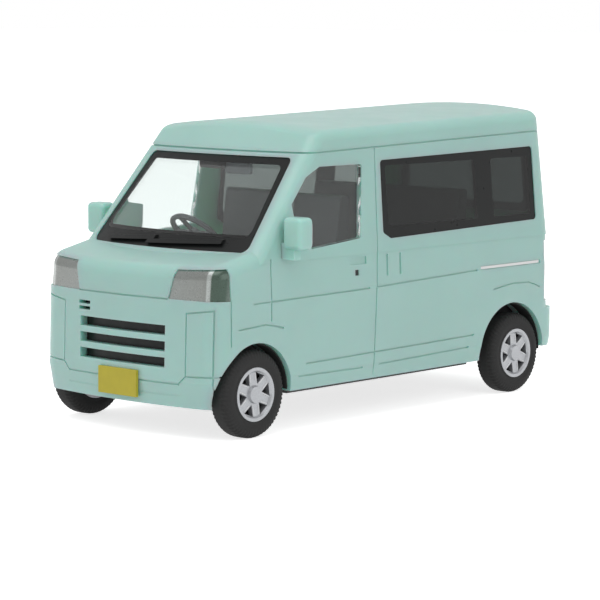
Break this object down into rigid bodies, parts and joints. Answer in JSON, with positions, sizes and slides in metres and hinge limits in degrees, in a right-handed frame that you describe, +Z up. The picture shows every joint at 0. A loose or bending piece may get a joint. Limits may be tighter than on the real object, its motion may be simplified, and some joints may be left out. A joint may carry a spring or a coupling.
{
  "type": "toy kei van",
  "caption": "Small-scale toy kei van: hollow mint body moulding with dark-framed windows, cabin, black base and two free-turning wheelsets.",
  "frame": {"origin": "on the ground, midway along the van and on its centre line", "axes": "+X to the van's left, -Y to its front, +Z up"},
  "size_m": [0.0284, 0.053, 0.0294],
  "materials": {
    "body_mint": "moulded mint plastic, semi-gloss",
    "trim_black": "satin black print",
    "glass_clear": "clear moulded plastic",
    "glass_dark": "smoke-tinted moulded plastic",
    "lamp_silver": "silver paint under clear lacquer",
    "lamp_red": "clear red plastic",
    "plate_yellow": "satin yellow print",
    "chassis_black": "moulded black plastic",
    "cabin_grey": "moulded grey plastic",
    "axle_steel": "drawn steel wire",
    "wheel_silver": "silver-painted plastic",
    "tyre_black": "moulded black, fine ribs"
  },
  "bodies": {
    "root": {"body_shell": "body_mint", "mirror_left": "body_mint", "mirror_right": "body_mint", "windscreen_frame": "trim_black", "tailgate_window_frame": "trim_black", "side_window_frame_left": "trim_black", "side_window_frame_right": "trim_black", "grille_backing": "trim_black", "wipers": "trim_black", "windscreen_glass": "glass_clear", "door_glass_left": "glass_clear", "door_glass_right": "glass_clear", "tailgate_glass": "glass_dark", "side_glass_left": "glass_dark", "side_glass_right": "glass_dark", "headlamp_left": "lamp_silver", "headlamp_right": "lamp_silver", "tail_lamp_left": "lamp_red", "tail_lamp_right": "lamp_red", "plate_front": "plate_yellow", "plate_rear": "plate_yellow", "chassis": "chassis_black", "cabin_floor": "cabin_grey", "dashboard": "cabin_grey", "steering_wheel": "cabin_grey", "seat_driver": "cabin_grey", "seat_passenger": "cabin_grey", "seat_rear": "cabin_grey"},
    "front_wheelset": {"axle_front": "axle_steel", "wheel_front_left": "wheel_silver", "wheel_front_right": "wheel_silver", "tyre_front_left": "tyre_black", "tyre_front_right": "tyre_black"},
    "rear_wheelset": {"axle_rear": "axle_steel", "wheel_rear_left": "wheel_silver", "wheel_rear_right": "wheel_silver", "tyre_rear_left": "tyre_black", "tyre_rear_right": "tyre_black"}
  },
  "joints": [
    {"name": "front_axle_spin", "type": "hinge", "parent": "root", "child": "front_wheelset", "pos_m": [0, -0.02009, 0.00409], "axis": [1, 0, 0], "continuous": true},
    {"name": "rear_axle_spin", "type": "hinge", "parent": "root", "child": "rear_wheelset", "pos_m": [0, 0.01915, 0.00409], "axis": [1, 0, 0], "continuous": true}
  ]
}
